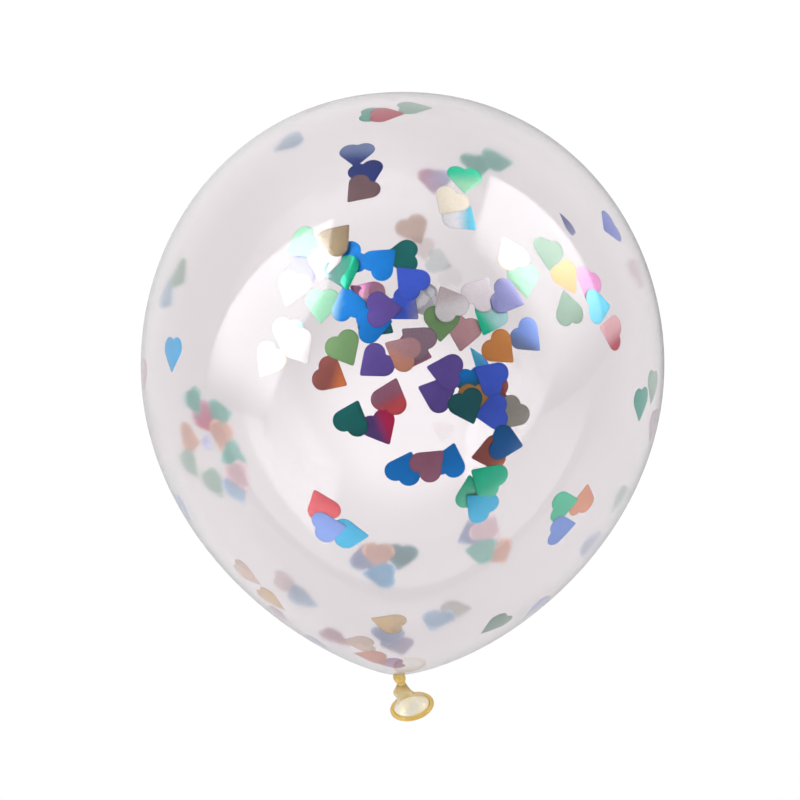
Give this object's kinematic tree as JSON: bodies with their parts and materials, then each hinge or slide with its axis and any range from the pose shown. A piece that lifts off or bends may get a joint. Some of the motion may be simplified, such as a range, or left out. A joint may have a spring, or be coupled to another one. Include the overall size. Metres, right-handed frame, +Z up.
{
  "type": "confetti balloon",
  "caption": "Clear inflated latex balloon, pear shaped, knotted at the neck above an open rolled-rim mouth, lying on a small flat on its side.",
  "frame": {"origin": "middle of the small flat on which the balloon lies, under its widest section", "axes": "+Z up from the floor; +Y along the balloon's length towards the crown, with the knot and mouth at -Y; +X sideways"},
  "size_m": [0.28, 0.3365, 0.277],
  "materials": {
    "latex": "clear glossy latex with a faint pinkish grey milkiness, smooth and tight"
  },
  "bodies": {
    "root": {"balloon": "latex"}
  },
  "joints": []
}
